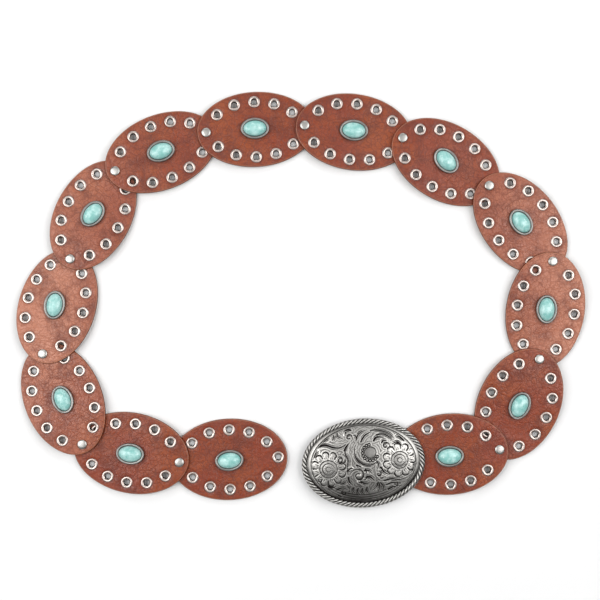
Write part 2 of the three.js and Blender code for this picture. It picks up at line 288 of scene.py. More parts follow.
class Finish(Nodes):
    """A material with one Principled shader, and the nodes that feed it."""

    def __init__(self, name):
        self.material = bpy.data.materials.new(name)
        self.material.use_nodes = True
        self.tree = self.material.node_tree
        self.shader = self.tree.nodes["Principled BSDF"]

    def mix(self, factor, first, second):
        """One colour laid over another."""
        pair = {6: opaque(first), 7: opaque(second)}
        return self.node("ShaderNodeMix", {"data_type": "RGBA"}, {0: factor, **pair}, out=2)

    def coordinates(self):
        return self.node("ShaderNodeTexCoord", out="Object")

    def noise(self, where, scale, detail=2.0, rough=0.5, out="Fac"):
        inputs = {"Vector": where, "Scale": scale, "Detail": detail, "Roughness": rough}
        return self.node("ShaderNodeTexNoise", None, inputs, out)

    def warped(self, where, scale, amount):
        """Coordinates pushed about by a noise."""
        push = {0: self.noise(where, scale, out="Color"), 1: (0.5, 0.5, 0.5)}
        centred = self.node("ShaderNodeVectorMath", {"operation": "SUBTRACT"}, push)
        moved = {0: where, 1: self.scaled(centred, amount)}
        return self.node("ShaderNodeVectorMath", {"operation": "ADD"}, moved)

    def cells(self, where, scale, feature="DISTANCE_TO_EDGE", **inputs):
        inputs = {"Vector": where, "Scale": scale, **inputs}
        return self.node("ShaderNodeTexVoronoi", {"feature": feature}, inputs)

    def attribute(self, name):
        return self.node("ShaderNodeAttribute", {"attribute_name": name}, out="Fac")

    def bump(self, height, distance, strength=1.0):
        inputs = {"Height": height, "Distance": distance, "Strength": strength}
        return self.node("ShaderNodeBump", None, inputs)

    def feed(self, **sockets):
        """Links or values for the shader's sockets. An underscore in a name stands for a space."""
        for name, value in sockets.items():
            self.join(value, self.shader.inputs[name.replace("_", " ")])
        return self.material


def opaque(colour):
    return colour if isinstance(colour, Value) else (*colour[:3], 1.0)


def leather_grain(settings):
    """The dyed, creased and pebbled side of the hide."""
    # The first colour is a painted highlight along the edge's shoulder; the second is the dark cut edge, also
    # a painted shadow along the overlaps
    edge_highlight_tan, edge_dye_and_shadow = (0.42, 0.19, 0.11), (0.075, 0.013, 0.006)
    finish = Finish("leather_grain")
    where = finish.coordinates()
    edge = finish.attribute("edge")
    fade = finish.attribute("fade")
    pressed = finish.attribute("pressed")
    bent = finish.warped(where, 150.0, 0.0035)
    pebbles = finish.cells(bent, 560.0, "SMOOTH_F1", Smoothness=0.6)
    crease = 1 - finish.cells(finish.warped(where, 90.0, 0.012), 230.0).ramp(0.0, 0.12)
    wrinkle = 1 - finish.cells(finish.warped(where, 260.0, 0.006), 470.0).ramp(0.0, 0.14)
    broad = finish.noise(where, 26.0, 3.0, 0.55)
    patch = finish.noise(where, 75.0, 4.0, 0.6)
    speck = finish.noise(where, 620.0, 3.0, 0.65)
    pores = finish.noise(where, 2400.0, 2.0, 0.6)
    tone = finish.mix(broad.ramp(0.38, 0.68) * 0.8, settings.colour, settings.warm)
    # Painted sheen: a paler colour laid over the ovals at the sides, strongest towards their outer side
    tone = finish.mix(fade * (0.5 + broad), tone, settings.painted_sheen_colour)
    tone = finish.mix(patch.ramp(0.44, 0.70) * 0.62, tone, settings.dark)
    tone = finish.mix(speck.ramp(0.5, 0.72) * 0.5, tone, settings.warm)
    # Painted shade in the creases and wrinkles: the colour is darkened along them, less where painted sheen
    # is laid
    lines = (1 - fade * 0.45) * 0.5
    tone = finish.mix(crease * broad.ramp(0.25, 0.5) * lines, tone, settings.dark)
    tone = finish.mix(wrinkle * patch.ramp(0.2, 0.5) * lines, tone, settings.dark)
    # Painted contact shade round the eyelets and the setting, carried by the pressed attribute
    tone = finish.mix(pressed * 0.45, tone, settings.dark)
    # Painted highlight: a paler line along the rounded shoulder of the edge
    edge_highlight = (edge.ramp(0.30, 0.45) - edge.ramp(0.6, 1.1)) * 0.5
    # The cut edge's wall is dyed dark, made wider and darker as a painted shadow along the overlapping edges
    wall = 1 - edge.ramp(0.10, 0.34)
    burnished = (edge.ramp(0.5, 1.2) - edge.ramp(1.6, 3.4)) * 0.35
    tone = finish.mix(burnished, tone, settings.dark)
    tone = finish.mix(edge_highlight, tone, edge_highlight_tan)
    tone = finish.mix(wall * 0.85, tone, edge_dye_and_shadow)
    height = pebbles * -0.55 + speck * 0.55 + pores * 0.12 + crease * -0.6 + wrinkle * -0.45
    return finish.feed(
        Base_Color=tone, Metallic=0.0, Specular_IOR_Level=0.42,
        Roughness=0.25 + speck * 0.12 + crease * 0.15, Normal=finish.bump(height, 0.00014, 1.0))


def leather_flesh():
    """The undyed suede side of the hide."""
    finish = Finish("leather_flesh")
    where = finish.coordinates()
    nap = finish.noise(where, 900.0, 5.0, 0.7)
    cloud = finish.noise(where, 60.0, 3.0, 0.6)
    tone = finish.mix(cloud.ramp(0.35, 0.7), (0.30, 0.17, 0.10), (0.38, 0.23, 0.14))
    tone = finish.mix(nap.ramp(0.45, 0.8) * 0.4, tone, (0.46, 0.31, 0.20))
    return finish.feed(
        Base_Color=tone, Metallic=0.0, Roughness=0.9, Normal=finish.bump(nap, 0.0003, 0.8))


def bright_silver(name, colour, rough):
    """Plated steel, darkened where its attribute says: on the eyelets that is painted contact shadow round
    the ring's foot and painted shade down the barrel and over the back.
    """
    smeared, painted_shade_dark = (0.52, 0.50, 0.47), (0.045, 0.04, 0.036)
    finish = Finish(name)
    where = finish.coordinates()
    patina = finish.attribute("patina")
    smear = finish.noise(where, 420.0, 3.0, 0.6)
    tone = finish.mix(smear.ramp(0.45, 0.8) * 0.3, colour, smeared)
    tone = finish.mix(patina, tone, painted_shade_dark)
    return finish.feed(
        Base_Color=tone, Metallic=1.0, Roughness=rough + smear * 0.16 + patina * 0.2,
        Normal=finish.bump(smear, 0.00004, 0.5))


def antique_silver(settings):
    """Silver that is bright on what stands proud and black in the recesses, and darker where its attribute
    carries painted shade.
    """
    clouded, blackening_and_shade = (0.38, 0.365, 0.345), (0.016, 0.014, 0.013)
    finish = Finish("antique_silver")
    where = finish.coordinates()
    patina = finish.attribute("patina")
    cloud = finish.noise(where, 160.0, 4.0, 0.6)
    grain = finish.noise(where, 1500.0, 3.0, 0.6)
    dark = (patina + (cloud - 0.5) * 0.35).ramp(0.05, 0.85)
    tone = finish.mix(cloud.ramp(0.35, 0.75) * 0.45, settings.antique, clouded)
    tone = finish.mix(dark, tone, blackening_and_shade)
    return finish.feed(
        Base_Color=tone, Metallic=1.0, Roughness=0.31 + dark * 0.2 + grain * 0.1,
        Normal=finish.bump(grain, 0.00005, 0.6))


def turquoise(settings):
    """Polished stone with pale clouds and fine veins."""
    pale_vein, deep_vein = (0.64, 0.80, 0.76), (0.16, 0.42, 0.40)
    finish = Finish("turquoise")
    where = finish.coordinates()
    bent = finish.warped(where, 90.0, 0.006)
    marble = finish.noise(bent, 190.0, 5.0, 0.62)
    veins = finish.noise(finish.warped(where, 200.0, 0.004), 420.0, 3.0, 0.6)
    tone = finish.mix(marble.ramp(0.38, 0.66), settings.colour, settings.pale)
    tone = finish.mix(veins.ramp(0.60, 0.70) * 0.45, tone, pale_vein)
    tone = finish.mix((1 - veins.ramp(0.28, 0.38)) * 0.35, tone, deep_vein)
    return finish.feed(
        Base_Color=tone, Metallic=0.0, Roughness=0.2 + marble * 0.12, Specular_IOR_Level=0.5,
        Coat_Weight=0.25, Coat_Roughness=0.1)


# Mesh building

def mesh_object(name, points, faces, materials, face_materials=None, values=None):
    """A smooth mesh in the scene from points in millimetres. values are numbers at its points, by name."""
    mesh = bpy.data.meshes.new(name)
    mesh.from_pydata((np.asarray(points, float) * MM).tolist(), [], [list(map(int, f)) for f in faces])
    for material in materials:
        mesh.materials.append(material)
    if face_materials is not None:
        mesh.polygons.foreach_set("material_index", np.asarray(face_materials, np.int32))
    mesh.polygons.foreach_set("use_smooth", np.ones(len(mesh.polygons), bool))
    for key, numbers in (values or {}).items():
        layer = mesh.attributes.new(key, "FLOAT", "POINT")
        layer.data.foreach_set("value", np.asarray(numbers, np.float32))
    mesh.update()
    piece = bpy.data.objects.new(name, mesh)
    bpy.context.scene.collection.objects.link(piece)
    return piece


def ring_faces(rings, spokes):
    """Quads between rings of points, each ring with the same number of points."""
    row = np.arange(spokes)
    ahead = (row + 1) % spokes
    first = np.column_stack((row, ahead, ahead + spokes, row + spokes))
    return np.concatenate([first + i * spokes for i in range(rings - 1)])


def full_turn(steps):
    return np.arange(steps) * 2 * math.pi / steps


def level_ring(half_length, half_width, height, steps):
    """Points of a level oval about the z axis."""
    x, y = half_length * np.cos(full_turn(steps)), half_width * np.sin(full_turn(steps))
    return np.column_stack((x, y, np.full(steps, height)))


def turned(name, profile, stretch, sides, material, patina=None, inset=False):
    """A shape turned about z from rows of radius and height. It starts and ends on the axis.
    With inset, a row gives how far in from the oval it is."""
    inner = np.array(profile[1:-1], float)
    rings = [level_ring(stretch[0] - r, stretch[1] - r, z, sides) if inset
             else level_ring(r * stretch[0], r * stretch[1], z, sides) for r, z in inner]
    points = np.concatenate(rings + [[[0, 0, profile[0][1]]], [[0, 0, profile[-1][1]]]])
    faces = ring_faces(len(inner), sides).tolist()
    first, last = len(points) - 2, len(points) - 1
    end = (len(inner) - 1) * sides
    for i in range(sides):
        ahead = (i + 1) % sides
        faces.append([first, ahead, i])
        faces.append([last, end + i, end + ahead])
    values = None
    if patina is not None:
        values = {"patina": [*np.repeat(np.array(patina[1:-1], float), sides), patina[0], patina[-1]]}
    return mesh_object(name, points, faces, [material], values=values)


def dress(piece, slot, *nodes):
    """A finished piece goes with the belt and stands for its nodes, which it hides. The slot argument is not
    used.
    """
    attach(piece, BODY)
    if nodes:
        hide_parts(*nodes)
    return piece


# Geometry nodes

class GeometryTree(Nodes):
    """A geometry node tree with named inputs."""

    def __init__(self, name, **inputs):
        self.tree = bpy.data.node_groups.new(name, "GeometryNodeTree")
        face = self.tree.interface
        face.new_socket("Geometry", in_out="OUTPUT", socket_type="NodeSocketGeometry")
        face.new_socket("Geometry", in_out="INPUT", socket_type="NodeSocketGeometry")
        self.identifiers = {}
        for key, kind in inputs.items():
            item = face.new_socket(self.label(key), in_out="INPUT", socket_type=kind)
            self.identifiers[key] = item.identifier
        self.start = self.tree.nodes.new("NodeGroupInput")
        self.end = self.tree.nodes.new("NodeGroupOutput")

    def label(self, key):
        return key.replace("_", " ").capitalize()

    def given(self, key):
        return Value(self, self.start.outputs[self.label(key)])

    def finish(self, geometry):
        """Ends the tree in a real mesh with its material."""
        real = self.node("GeometryNodeRealizeInstances", None, {"Geometry": geometry})
        smooth = self.node("GeometryNodeSetShadeSmooth", None, {"Geometry": real})
        painted = {"Geometry": smooth, "Material": self.given("material")}
        self.join(self.node("GeometryNodeSetMaterial", None, painted), self.end.inputs["Geometry"])
        return self

    def apply(self, piece, **values):
        """Runs the tree on a piece and keeps the result as its plain mesh."""
        modifier = piece.modifiers.new(self.tree.name, "NODES")
        modifier.node_group = self.tree
        for key, value in values.items():
            modifier[self.identifiers[key]] = value
        bpy.context.view_layer.update()
        graph = bpy.context.evaluated_depsgraph_get()
        result = bpy.data.meshes.new_from_object(
            piece.evaluated_get(graph), preserve_all_data_layers=True, depsgraph=graph)
        piece.modifiers.clear()
        old = piece.data
        piece.data = result
        result.name = piece.name
        bpy.data.meshes.remove(old)


def scatter_tree():
    """Puts a copy of one part at each point, turned as the point's own attribute says."""
    tree = GeometryTree("Parts at points", part="NodeSocketObject", material="NodeSocketMaterial",
                        wobble="NodeSocketFloat", seed="NodeSocketInt")
    turn = tree.node("GeometryNodeInputNamedAttribute", {"data_type": "FLOAT_VECTOR"}, {"Name": "turn"})
    turn = tree.node("FunctionNodeEulerToRotation", None, {0: turn})
    most = tree.vector(tree.given("wobble"), tree.given("wobble"), 0.0)
    shake = tree.node("FunctionNodeRandomValue", {"data_type": "FLOAT_VECTOR"},
                      {"Min": tree.scaled(most, -1.0), "Max": most, "Seed": tree.given("seed")})
    shake = tree.node("FunctionNodeEulerToRotation", None, {0: shake})
    turn = tree.node("FunctionNodeRotateRotation", {"rotation_space": "LOCAL"}, {0: turn, 1: shake})
    part = tree.node("GeometryNodeObjectInfo", {"transform_space": "ORIGINAL"},
                     {"Object": tree.given("part")}, out="Geometry")
    copies = {"Points": tree.given("geometry"), "Instance": part, "Rotation": turn}
    return tree.finish(tree.node("GeometryNodeInstanceOnPoints", None, copies))


def scattered(name, part, points, turns, material, wobble=0.0):
    """Copies of a part at points in millimetres, as one piece. The part itself is used up."""
    mesh = bpy.data.meshes.new(name)
    mesh.from_pydata((np.asarray(points, float) * MM).tolist(), [], [])
    layer = mesh.attributes.new("turn", "FLOAT_VECTOR", "POINT")
    layer.data.foreach_set("vector", np.asarray(turns, np.float32).ravel())
    piece = bpy.data.objects.new(name, mesh)
    bpy.context.scene.collection.objects.link(piece)
    scatter_tree().apply(piece, part=part, material=material, wobble=wobble, seed=7)
    bpy.data.objects.remove(part)
    return piece


def rope_tree():
    """A rope of several strands laid round an oval."""
    tree = GeometryTree("Rope border", half_length="NodeSocketFloat", half_width="NodeSocketFloat",
                        height="NodeSocketFloat", radius="NodeSocketFloat", flatness="NodeSocketFloat",
                        turns="NodeSocketInt", strands="NodeSocketInt", material="NodeSocketMaterial")
    steps_a_turn, oval_steps, section_steps = 44.0, 256, 36
    strand_round, valley, strand_height = 0.7, 0.64, 0.36
    strand_shine, valley_shade = -1.7, 1.6
    circle = ("GeometryNodeCurvePrimitiveCircle", {"mode": "RADIUS"})
    ring = tree.node(*circle, {"Resolution": oval_steps, "Radius": 1.0})
    size = tree.vector(tree.given("half_length"), tree.given("half_width"), 1.0)
    oval = tree.node("GeometryNodeTransform", None, {"Geometry": ring, "Scale": size})
    oval = tree.node("GeometryNodeResampleCurve", {"mode": "COUNT"},
                     {"Curve": oval, "Count": tree.given("turns") * steps_a_turn})
    oval = tree.node("GeometryNodeSetCurveNormal", {"mode": "Z_UP"}, {"Curve": oval})
    tilt = tree.node("GeometryNodeSplineParameter", out="Factor") * (tree.given("turns") * (-2 * math.pi))
    oval = tree.node("GeometryNodeSetCurveTilt", None, {"Curve": oval, "Tilt": tilt})
    section = tree.node(*circle, {"Resolution": section_steps, "Radius": 1.0})
    wave = tree.node("GeometryNodeSplineParameter", out="Factor") * (tree.given("strands") * math.pi)
    wave = wave.maths("SINE", wave)
    lobe = wave.maths("ABSOLUTE", wave) ** strand_round
    reach = (lobe * strand_height + valley) * tree.given("radius")
    spread = tree.scaled(tree.node("GeometryNodeInputPosition"), reach)
    section = tree.node("GeometryNodeSetPosition", None, {"Geometry": section, "Position": spread})
    section = tree.node("GeometryNodeStoreNamedAttribute", {"data_type": "FLOAT", "domain": "POINT"},
                        {"Geometry": section, "Name": "patina", "Value": lobe * strand_shine + valley_shade})
    rope = tree.node("GeometryNodeCurveToMesh", None, {"Curve": oval, "Profile Curve": section})
    seat = {"Geometry": rope, "Scale": tree.vector(1.0, 1.0, tree.given("flatness")),
            "Translation": tree.vector(0.0, 0.0, tree.given("height"))}
    return tree.finish(tree.node("GeometryNodeTransform", None, seat))


# Leather ovals

# Where the eyelets of an oval of the usual width are: how far along it, and how far to each side
EYELETS = ((0.0, 22.0), (15.0, 19.9), (28.2, 12.7))
USUAL_WIDTH = 60
# Radii of the holes for the eyelets and for the rivets
LEATHER_HOLE = 3.0
RIVET_HOLE = 1.9
# Points round an oval, how far in its edge's rings are, the rings inside them, the share that the last
# one keeps of the oval, and the depth that all of these are given
SPOKES = 192
EDGE_STEPS = (0.0, 0.12, 0.34, 0.65, 1.1)
INNER_RINGS = 38
INNER_SHARE = 0.12
FAR_INSIDE = 9.0
# How much painted sheen each oval gets, from the free end to the buckle
PAINTED_SHEEN = (0.0, 0.0, 0.5, 1.0, 0.45, 0.12, 0.0, 0.0, 0.05, 0.6, 0.78, 0.05, 0.0)


def eyelet_spots(place):
    """Where the eyelets of one oval are, in its own frame."""
    along, across, turn = PUNCHED[place.number - 1]
    cos, sin = math.cos(math.radians(turn)), math.sin(math.radians(turn))
    spots = []
    for x, y in EYELETS:
        ends = (x, -x) if x else (0.0,)
        y *= 2 * place.half_width / USUAL_WIDTH
        spots += [(along + end * cos - side * sin, across + end * sin + side * cos)
                  for end in ends for side in (y, -y)]
    if place.number == 1:
        spots.append((RIVET_REACH, 0.0))
    return spots


def ripple(x, y, seed, size):
    """A soft seeded unevenness of about one, for waves of a size in millimetres."""
    random = np.random.default_rng(seed)
    total = np.zeros_like(x)
    for _ in range(7):
        angle, phase = random.uniform(0, 2 * math.pi, 2)
        length = size * random.uniform(0.7, 1.8)
        total += np.sin((x * math.cos(angle) + y * math.sin(angle)) * 2 * math.pi / length + phase)
    return total / 3


def leather_rings(place):
    """Points of an oval seen from above, in rings from its edge to its middle, and how far in each is."""
    cos, sin = np.cos(full_turn(SPOKES)), np.sin(full_turn(SPOKES))
    normal = np.column_stack((cos * place.half_width, sin * HALF_LENGTH))
    normal /= np.linalg.norm(normal, axis=1)[:, None]
    outline = np.column_stack((cos * HALF_LENGTH, sin * place.half_width))
    rings = [outline - normal * step for step in EDGE_STEPS]
    start = rings[-1]
    rings += [start * (1 - i / INNER_RINGS) + outline * INNER_SHARE * (i / INNER_RINGS)
              for i in range(1, INNER_RINGS + 1)]
    depth = np.concatenate((np.repeat(EDGE_STEPS, SPOKES), np.full(SPOKES * INNER_RINGS + 1, FAR_INSIDE)))
    return np.concatenate(rings + [[[0.0, 0.0]]]), depth


def punched(flat, quads, holes):
    """Takes away the faces in the holes, and draws the points round them onto the holes' edges."""
    middles = flat[quads].mean(axis=1)
    kept = np.ones(len(quads), bool)
    for x, y, radius in holes:
        kept &= np.hypot(middles[:, 0] - x, middles[:, 1] - y) > radius
    rim = np.intersect1d(quads[~kept], quads[kept])
    for x, y, radius in holes:
        away = flat[rim] - (x, y)
        far = np.hypot(away[:, 0], away[:, 1])
        near = far < radius * 1.8
        flat[rim[near]] = (x, y) + away[near] / far[near, None] * radius
    return quads[kept].tolist()


def rounded(depth, radius):
    """How far a rounded edge falls back at a depth in from it."""
    return np.where(depth < radius, radius - np.sqrt(np.clip(radius**2 - (radius - depth)**2, 0, None)), 0)


def open_edges(faces):
    """The edges that one face alone has, in that face's order."""
    edges = {}
    for face in faces:
        for a, b in zip(face, face[1:] + face[:1]):
            if (b, a) in edges:
                del edges[(b, a)]
            else:
                edges[(a, b)] = True
    return edges


def pressed_leather(place, x, y, spots, joints, dimple):
    """How far the leather is pressed down at each point, and how much painted contact shade it gets round its
    eyelets and its setting.
    """
    dimple_reach, ridge_reach, ridge_width, ridge = 4.6, 6.6, 1.5, 0.10
    # Painted contact shade: its reach round an eyelet, its strength round the setting and its reach out from
    # the setting
    contact_shade_reach, setting_shade, setting_reach = 5.6, 0.6, 1.9
    rivet_reach, rivet_dimple = 4.4, 0.2
    press = np.zeros(len(x))
    contact_shade = np.zeros(len(x))
    for hole_x, hole_y in spots:
        far = np.hypot(x - hole_x, y - hole_y)
        contact_shade = np.maximum(contact_shade, np.exp(-(far / contact_shade_reach)**6))
        press += (np.exp(-(far / dimple_reach)**4) * dimple / MM
                  - ridge * np.exp(-((far - ridge_reach) / ridge_width)**2))
    for joint in joints[1:]:
        press += np.exp(-(np.hypot(x - joint, y) / rivet_reach)**2) * rivet_dimple
    past = np.maximum(place.past_setting(x, y), 0)
    return press, np.maximum(contact_shade, setting_shade * np.exp(-(past / setting_reach)**2))


def waves(place, x, y):
    """Soft unevenness of the leather, which is calm near the setting."""
    length, height, calm_reach = 26.0, 0.05, 8
    past = np.maximum(place.past_setting(x, y), 0)
    return ripple(x, y, place.number, length) * height * (1 - np.exp(-(past / calm_reach)**2))


def leather_oval(place, settings, materials):
    """A thick oval of hide with a rounded edge, pressed down round its eyelets."""
    low_round, top_gap, low_gap = 0.5, 0.05, 0.02
    flat, depth = leather_rings(place)
    count = len(flat)
    spots = eyelet_spots(place)
    joints = [-RIVET_REACH] if place.number == 1 else [-RIVET_REACH, RIVET_REACH]
    holes = [(x, y, LEATHER_HOLE) for x, y in spots] + [(x, 0.0, RIVET_HOLE) for x in joints]
    rings = count // SPOKES
    last = (rings - 1) * SPOKES
    upper = punched(flat, np.roll(ring_faces(rings, SPOKES), -1, axis=1), holes)
    upper += [[last + i, last + (i + 1) % SPOKES, count - 1] for i in range(SPOKES)]

    x, y = flat[:, 0], flat[:, 1]
    press, contact_shade = pressed_leather(place, x, y, spots, joints, settings.dimple)
    base = place.climb(x)
    drop = rounded(depth, settings.edge_round / MM)
    top = np.column_stack((x, y, base + LEATHER - drop - press + waves(place, x, y) - top_gap))
    low = np.column_stack((x, y, base + rounded(depth, low_round) + low_gap))

    walls = [[b, a, a + count, b + count] for a, b in open_edges(upper)]
    under = [[v + count for v in reversed(face)] for face in upper]
    faces = upper + walls + under
    kinds = [0] * (len(upper) + len(walls)) + [1] * len(under)
    used = np.unique(np.concatenate([np.array(face) for face in faces]))
    renumber = np.full(2 * count, -1)
    renumber[used] = np.arange(len(used))
    values = {"edge": np.concatenate((depth, np.zeros(count)))[used],
              "fade": np.tile(place.fade(x, y), 2)[used],
              # The second and third values are painted sheen and painted contact shade
              "pressed": np.tile(contact_shade, 2)[used]}
    return mesh_object(numbered("leather", place.number), place.put(np.concatenate((top, low)))[used],
                       [renumber[face] for face in faces], materials, kinds, values)


class BELT_OT_leather(bpy.types.Operator):
    """Make the leather ovals"""
    bl_idname = "belt.leather"
    bl_label = "Leather ovals"

    def execute(self, context):
        settings = context.scene.belt_leather
        materials = [leather_grain(settings), leather_flesh()]
        for place in PLACES:
            piece = leather_oval(place, settings, materials)
            dress(piece, "leather", numbered("panel", place.number))
        return {"FINISHED"}


# Eyelets and rivets

def eyelet(metal):
    """A rolled ring with a barrel through the leather and a clinched back."""
    outer = metal.eyelet_radius / MM
    hole = metal.eyelet_hole / MM
    back = -LEATHER
    sides = 24
    # Rows of radius, height and darkness round the ring's section; the darkness is painted contact shadow at
    # the ring's outer foot and painted shade down into the hole, the barrel and the clinched back
    loop = [
        (outer, -0.25, 0.8), (outer - 0.02, 0.14, 0.35), (outer - 0.25, 0.45, 0.1), (outer - 0.7, 0.62, 0.0),
        (outer - 1.25, 0.58, 0.0), (hole + 0.4, 0.36, 0.0), (hole + 0.1, 0.02, 0.25), (hole, -0.5, 0.85),
        (hole - 0.15, -1.3, 1.0), (hole - 0.15, back + 0.2, 1.0), (hole + 0.2, back - 0.18, 0.5),
        (hole + 1.4, back - 0.38, 0.2), (outer - 0.5, back - 0.2, 0.2), (outer - 0.45, back, 0.5),
        (hole + 0.45, back + 0.1, 1.0), (hole + 0.35, -0.2, 1.0),
    ]
    rings = [level_ring(radius, radius, height, sides) for radius, height, _ in loop]
    faces = ring_faces(len(loop) + 1, sides) % (len(loop) * sides)
    values = {"patina": np.repeat([row[2] for row in loop], sides)}
    return mesh_object("eyelet_part", np.concatenate(rings), faces, [], values=values)


# Radius of a rivet's shank, and rows of radius and height of its back, from the floor up
SHANK = 1.45
RIVET_BACK = ((0, 0), (3.0, 0), (3.35, 0.15), (3.4, 0.45), (3.1, 0.6), (SHANK, 0.6))


def rivet_profile(top):
    """Rows of radius and height of a rivet, from its back to its domed cap."""
    reach, crown, lap, cap = 3.5, 0.7, 0.3, 1.5
    dome = [(reach * share, top - crown + crown * math.sqrt(1 - share ** 3))
            for share in (1.0, 0.985, 0.95, 0.89, 0.8, 0.66, 0.5, 0.3)]
    return [*RIVET_BACK, (SHANK, top - cap), (reach - lap, top - cap), *dome, (0, top)]


class BELT_OT_eyelets(bpy.types.Operator):
    """Set an eyelet in every hole and a rivet in every joint"""
    bl_idname = "belt.eyelets"
    bl_label = "Eyelets and rivets"

    def execute(self, context):
        metal = context.scene.belt_metal
        silver = bright_silver("bright_silver", metal.bright, 0.26)
        points, turns = [], []
        for place in PLACES:
            for x, y in eyelet_spots(place):
                top = float(place.climb(x)) + LEATHER - context.scene.belt_leather.dimple / MM
                points.append(place.put([(x, y, top)])[0])
                slope = float(place.climb(x + 0.5) - place.climb(x - 0.5))
                turns.append((0.0, -math.atan(slope), place.heading))
        piece = scattered("eyelets", eyelet(metal), points, turns, silver, wobble=0.02)
        dress(piece, "bright_silver")

        satin = bright_silver("satin_silver", metal.antique, 0.28)
        part = turned("rivet_part", rivet_profile(corners("rivet_01")[1][2]), (1, 1), 32, satin)
        joints = [(*LOWER_JOINTS[n], 0.0) for n in range(PANELS - 1)]
        piece = scattered("rivets", part, joints, [(0, 0, 0)] * len(joints), satin)
        dress(piece, "bright_silver", *[numbered("rivet", n) for n in range(1, PANELS)])

        top = corners("buckle_rivet")[1][2]
        piece = turned("buckle_post", [*RIVET_BACK, (SHANK, top), (0, top)], (1, 1), 32, silver)
        piece.data.transform(Matrix.Translation((*LOWER_JOINTS[-1] * MM, 0.0)))
        dress(piece, "bright_silver", "buckle_rivet")
        return {"FINISHED"}


# Turquoise settings

# Half the length and width of a stone, the height of its straight wall, and the floor of its setting
STONE_HALF = (8.65, 5.82)
STONE_WALL = 1.0
CUP_FLOOR = 0.6
# Rows of a setting, from under it over its rolled rim to its floor: how far in, height and patina
CUP = (
    (0, 0, 0.4), (0.3, 0, 0.4), (0, 0.12, 0.6), (0, 0.5, 0.5), (0, 1.6, 0.42), (0.1, 2.0, 0.38),
    (0.35, 2.28, 0.36), (0.7, 2.4, 0.38), (1.05, 2.37, 0.4), (1.4, 2.3, 0.42), (1.75, 2.18, 0.46),
    (1.95, 2.0, 0.5), (2.0, 1.7, 0.7), (2.0, 0.8, 0.7), (0, CUP_FLOOR, 0.5),
)


class BELT_OT_settings(bpy.types.Operator):
    """Make the silver settings and their stones"""
    bl_idname = "belt.settings"
    bl_label = "Stones and settings"

    def execute(self, context):
        antique = antique_silver(context.scene.belt_metal)
        gem = turquoise(context.scene.belt_stone)
        low, high = corners("stone_01")
        tall = high[2] - low[2]
        dome = [(math.cos(angle) ** 0.9, STONE_WALL + (tall - STONE_WALL) * math.sin(angle) ** 1.1)
                for angle in map(math.radians, range(0, 90, 6))]
        cabochon = [(0, 0), (0.96, 0), (0.995, 0.3), *dome, (0, tall)]
        for place in PLACES:
            number = place.number
            bezel = turned("bezel_part", [row[:2] for row in CUP], BEZEL_HALF, 64, antique,
                           [row[2] for row in CUP], inset=True)
            piece = scattered(numbered("setting", number), bezel, *place.seat(0), antique)
            dress(piece, "antique_silver", numbered("bezel", number))
            stone = turned("stone_part", cabochon, STONE_HALF, 56, gem)
            piece = scattered(numbered("turquoise", number), stone, *place.seat(CUP_FLOOR + GAP), gem)
            dress(piece, "turquoise", numbered("stone", number))
        return {"FINISHED"}


# Buckle

# Half its length and width, and its turn on the belt
BUCKLE_HALF = (46.5, 33.5)
BUCKLE_TURN = math.radians(4.3)
# The rope's share of the way to the edge, heights of the bevel's foot and the crown, and the wall's thickness
ROPE_SHARE = 0.09
BEVEL_HEIGHT = 2.4
CROWN_HEIGHT = 7.2
CASTING = 2.4
# Where the socket boss and the hook are, and how far the boss reaches down
BUCKLE_POST = (28.4, 0.5)
HOOK_ALONG = -32
BOSS_DEPTH = 0.9
# The rope's radius, the height of its middle, how flat it lies, and its strands
ROPE_RADIUS = 2.1
ROPE_HEIGHT = 1.9
ROPE_FLATNESS = 0.82
STRANDS = 4
# Steps of the face's grid, and how deep its cuts and its ground are
FACE_STEPS = 270
CUT_DEPTH = 0.5
GROUND_DEPTH = 0.14


def buckle_place(points):
    """Points of the buckle's own frame, in the frame of the belt. Its rim's underside is at height 0."""
    points = np.asarray(points, float)
    cos, sin = math.cos(BUCKLE_TURN), math.sin(BUCKLE_TURN)
    across, up = BUCKLE_POST
    origin = LOWER_JOINTS[-1] - (across * cos - up * sin, across * sin + up * cos)
    x = origin[0] + points[:, 0] * cos - points[:, 1] * sin
    y = origin[1] + points[:, 0] * sin + points[:, 1] * cos
    return np.column_stack((x, y, points[:, 2] + buckle_rim()))


def buckle_rim():
    """Height of the underside of the buckle's rim: the rivet's post ends inside its boss."""
    return LOW + LEATHER + GAP + BOSS_DEPTH


def dome_height(share):
    """Height of the dome at a share of the way from the middle to the edge."""
    foot = 1 - ROPE_SHARE
    return BEVEL_HEIGHT + (CROWN_HEIGHT - BEVEL_HEIGHT) * (1 - np.clip(share / foot, 0, 1) ** 2.2)


def way_out(x, y):
    """The share of the way from the middle of the buckle to its edge."""
    return np.hypot(x / BUCKLE_HALF[0], y / BUCKLE_HALF[1])


